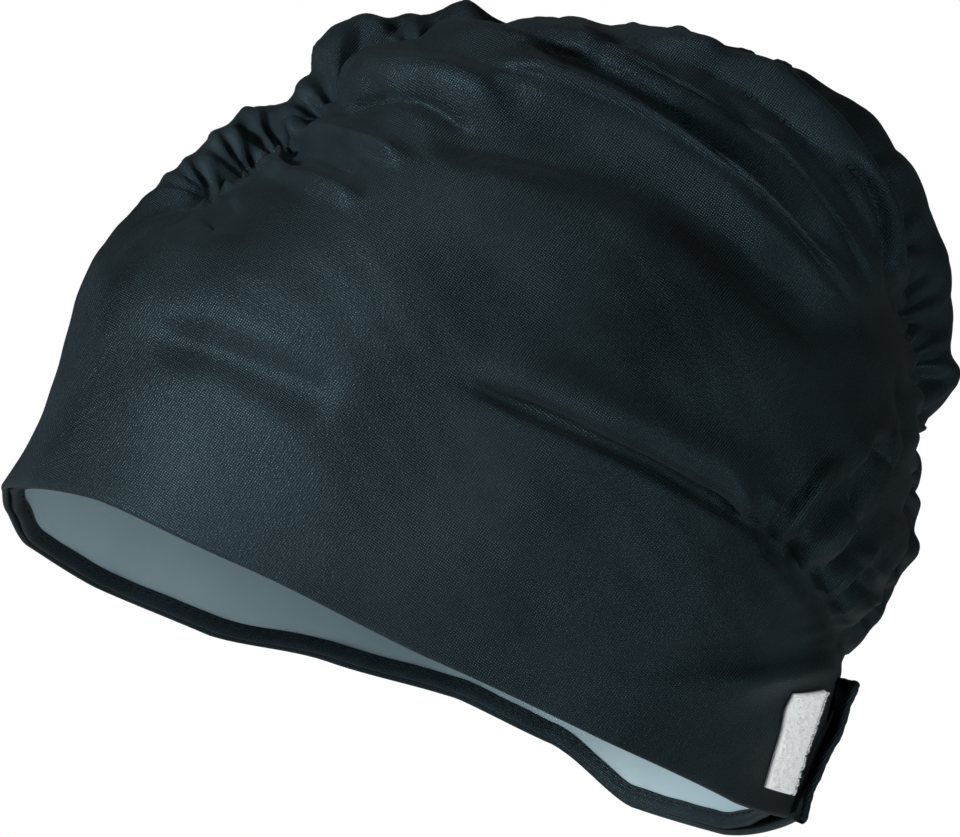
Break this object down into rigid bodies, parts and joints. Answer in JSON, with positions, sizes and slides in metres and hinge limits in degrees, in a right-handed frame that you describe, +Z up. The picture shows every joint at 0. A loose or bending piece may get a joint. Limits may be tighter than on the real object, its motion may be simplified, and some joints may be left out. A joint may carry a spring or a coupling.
{
  "type": "swim cap",
  "caption": "Gathered woven-cloth swim cap in a turban form, with a ruched centre seam over the crown, a smooth band, pale lined inside and an open hook-and-loop tab at the nape.",
  "frame": {"origin": "middle of the head opening, where the rim sits round the head", "axes": "+Z up as worn with the face level, brow toward -Y, nape toward +Y, wearer's left side toward +X"},
  "size_m": [0.1704, 0.2307, 0.2044],
  "materials": {
    "cloth": "woven cloth with a soft satin sheen",
    "lining": "smooth matte coated back of the cloth",
    "hem": "matte woven cloth",
    "loops": "brushed loop pile",
    "hooks": "matte hook tape"
  },
  "bodies": {
    "root": {"cap_cloth": "cloth", "lining": "lining", "hem_strip": "hem", "loop_strip": "loops", "hook_strip": "hooks"}
  },
  "joints": []
}
